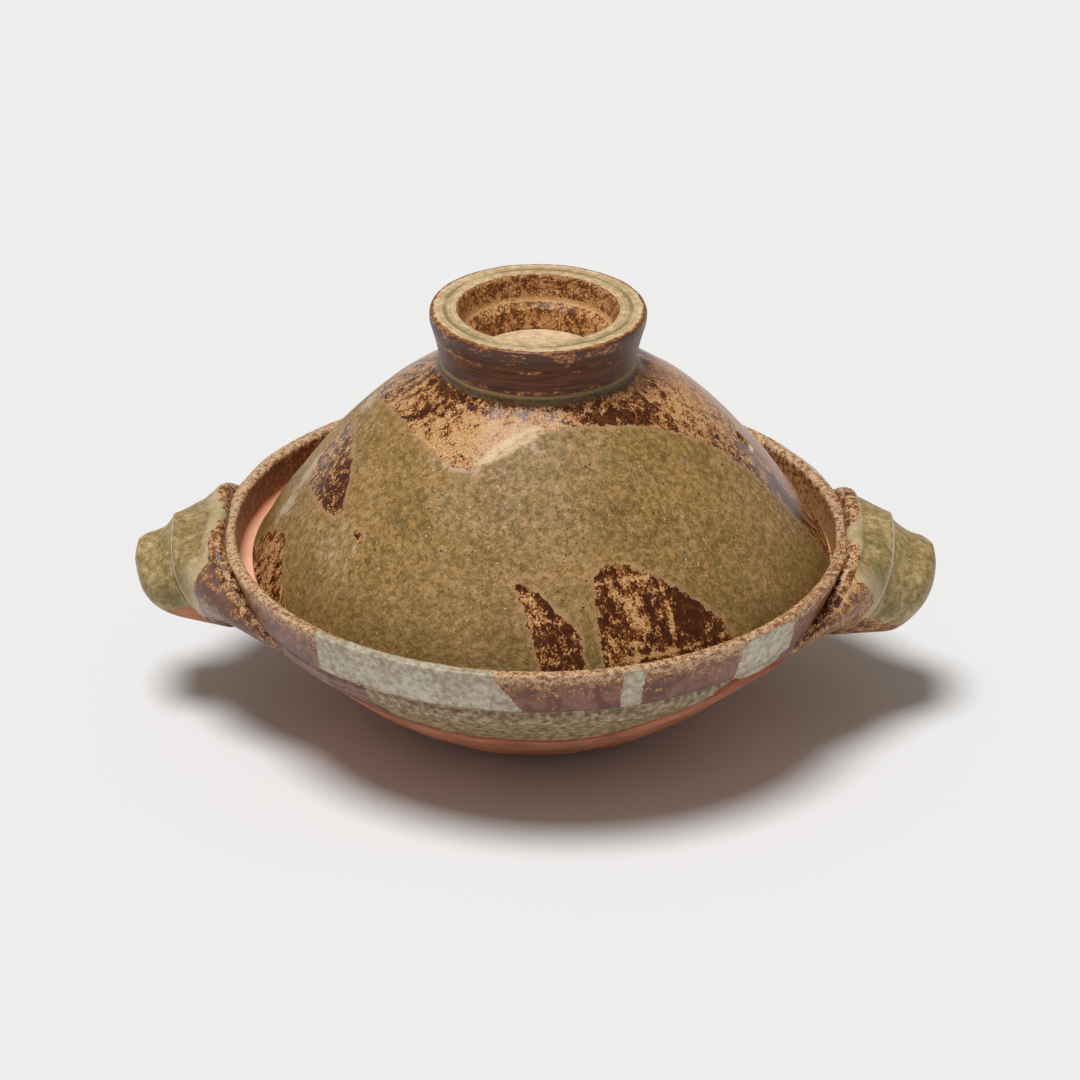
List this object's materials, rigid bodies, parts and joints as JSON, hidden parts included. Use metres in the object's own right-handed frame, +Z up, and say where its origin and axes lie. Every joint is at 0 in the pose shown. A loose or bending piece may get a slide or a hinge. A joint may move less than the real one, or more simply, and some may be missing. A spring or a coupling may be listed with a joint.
{
  "type": "earthenware hot pot",
  "caption": "Round earthenware hot pot with a flared rim band, lug handles at both sides and a lift-off domed lid with a ring knob and a steam hole.",
  "frame": {"origin": "middle of the flat underside of the pot", "axes": "+Z up, +X towards the right handle, -Y towards the viewer of the picture"},
  "size_m": [0.3256, 0.254, 0.1749],
  "materials": {
    "pot_clay": "matte",
    "handle_glaze": "satin",
    "lid_glaze": "satin",
    "knob_glaze": "satin"
  },
  "bodies": {
    "pot": {"pot_bowl": "pot_clay", "handle_left": "handle_glaze", "handle_right": "handle_glaze"},
    "lid": {"lid_dome": "lid_glaze", "lid_knob_ring": "knob_glaze"}
  },
  "joints": [
    {"name": "lid_lift", "type": "slide", "parent": "pot", "child": "lid", "axis": [0, 0, 1], "range_m": [0, 0.15]}
  ]
}
